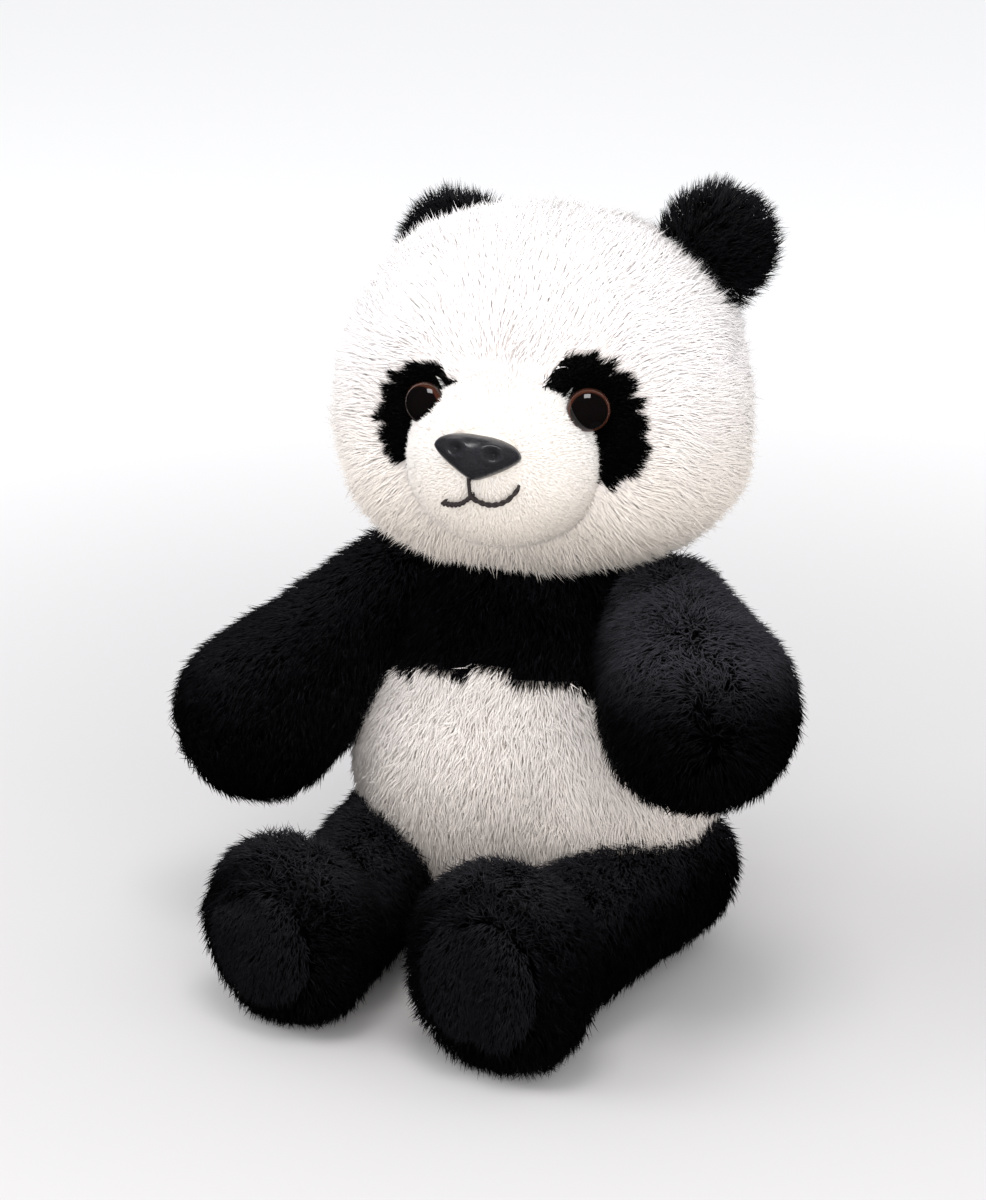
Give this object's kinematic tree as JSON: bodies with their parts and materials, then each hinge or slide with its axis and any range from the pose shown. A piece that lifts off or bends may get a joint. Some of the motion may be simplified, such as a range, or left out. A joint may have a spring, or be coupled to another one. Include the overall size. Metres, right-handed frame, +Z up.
{
  "type": "plush panda",
  "caption": "Sitting stuffed panda with black limbs, ears and eye patches, a round pale head and belly, and soft neck, shoulder and hip joints.",
  "frame": {"origin": "middle of the flat seat, on the surface that the toy sits on", "axes": "+Z up; the face and feet point along -Y; the toy's left side is +X"},
  "size_m": [0.2315, 0.1889, 0.265],
  "materials": {
    "white_long_plush": "long white pile plush",
    "belly_plush": "medium pale grey-cream pile plush",
    "cream_short_plush": "short cream pile plush",
    "black_long_plush": "black pile plush with a cool sheen",
    "black_short_plush": "short black pile plush",
    "eye_plastic": "glossy dark dome with a brown ring",
    "nose_plastic": "satin dark grey",
    "washer_plastic": "natural plastic",
    "mouth_floss": "twisted black embroidery thread",
    "fibre_stuffing": "white polyester fibre",
    "bag_cloth": "plain woven cloth",
    "pellet_plastic": "plastic pellets"
  },
  "bodies": {
    "torso": {"chest_panel": "black_long_plush", "shoulder_panel": "black_long_plush", "belly_panel": "belly_plush", "back_panel": "belly_plush", "base_panel": "belly_plush", "torso_stuffing": "fibre_stuffing", "pellet_bag": "bag_cloth", "seat_pellets": "pellet_plastic"},
    "neck": {"neck_stuffing": "fibre_stuffing"},
    "head": {"forehead_panel": "white_long_plush", "cheek_left_panel": "white_long_plush", "cheek_right_panel": "white_long_plush", "head_back_left_panel": "white_long_plush", "head_back_right_panel": "white_long_plush", "eye_patch_left": "black_short_plush", "eye_patch_right": "black_short_plush", "muzzle_panel": "cream_short_plush", "eye_left": "eye_plastic", "eye_right": "eye_plastic", "eye_lock_washers": "washer_plastic", "nose": "nose_plastic", "nose_lock_washer": "washer_plastic", "mouth_thread": "mouth_floss", "ear_left": "black_long_plush", "ear_right": "black_long_plush", "head_stuffing": "fibre_stuffing", "muzzle_stuffing": "fibre_stuffing"},
    "arm_left": {"arm_left_upper": "black_long_plush", "arm_left_under": "black_long_plush", "arm_left_stuffing": "fibre_stuffing"},
    "leg_left": {"leg_left_upper": "black_long_plush", "leg_left_under": "black_long_plush", "foot_left_sole": "black_long_plush", "leg_left_stuffing": "fibre_stuffing"},
    "arm_right": {"arm_right_upper": "black_long_plush", "arm_right_under": "black_long_plush", "arm_right_stuffing": "fibre_stuffing"},
    "leg_right": {"leg_right_upper": "black_long_plush", "leg_right_under": "black_long_plush", "foot_right_sole": "black_long_plush", "leg_right_stuffing": "fibre_stuffing"}
  },
  "joints": [
    {"name": "neck_turn", "type": "hinge", "parent": "torso", "child": "neck", "pos_m": [0.0025, 0, 0.15], "axis": [0, 0, 1], "range_deg": [-30, 30]},
    {"name": "head_nod", "type": "hinge", "parent": "neck", "child": "head", "pos_m": [0.0025, 0, 0.196], "axis": [0.9925, 0.1219, 0], "range_deg": [-10, 12]},
    {"name": "arm_left_swing", "type": "hinge", "parent": "torso", "child": "arm_left", "pos_m": [0.048, -0.002, 0.12], "axis": [-1, 0, 0], "range_deg": [-25, 20]},
    {"name": "arm_right_swing", "type": "hinge", "parent": "torso", "child": "arm_right", "pos_m": [-0.048, -0.002, 0.12], "axis": [-1, 0, 0], "range_deg": [-4, 80]},
    {"name": "leg_left_swing", "type": "hinge", "parent": "torso", "child": "leg_left", "pos_m": [0.047, 0.006, 0.0285], "axis": [-1, 0, 0], "range_deg": [-40, 8]},
    {"name": "leg_right_swing", "type": "hinge", "parent": "torso", "child": "leg_right", "pos_m": [-0.047, 0.006, 0.0285], "axis": [-1, 0, 0], "range_deg": [-40, 8]}
  ]
}
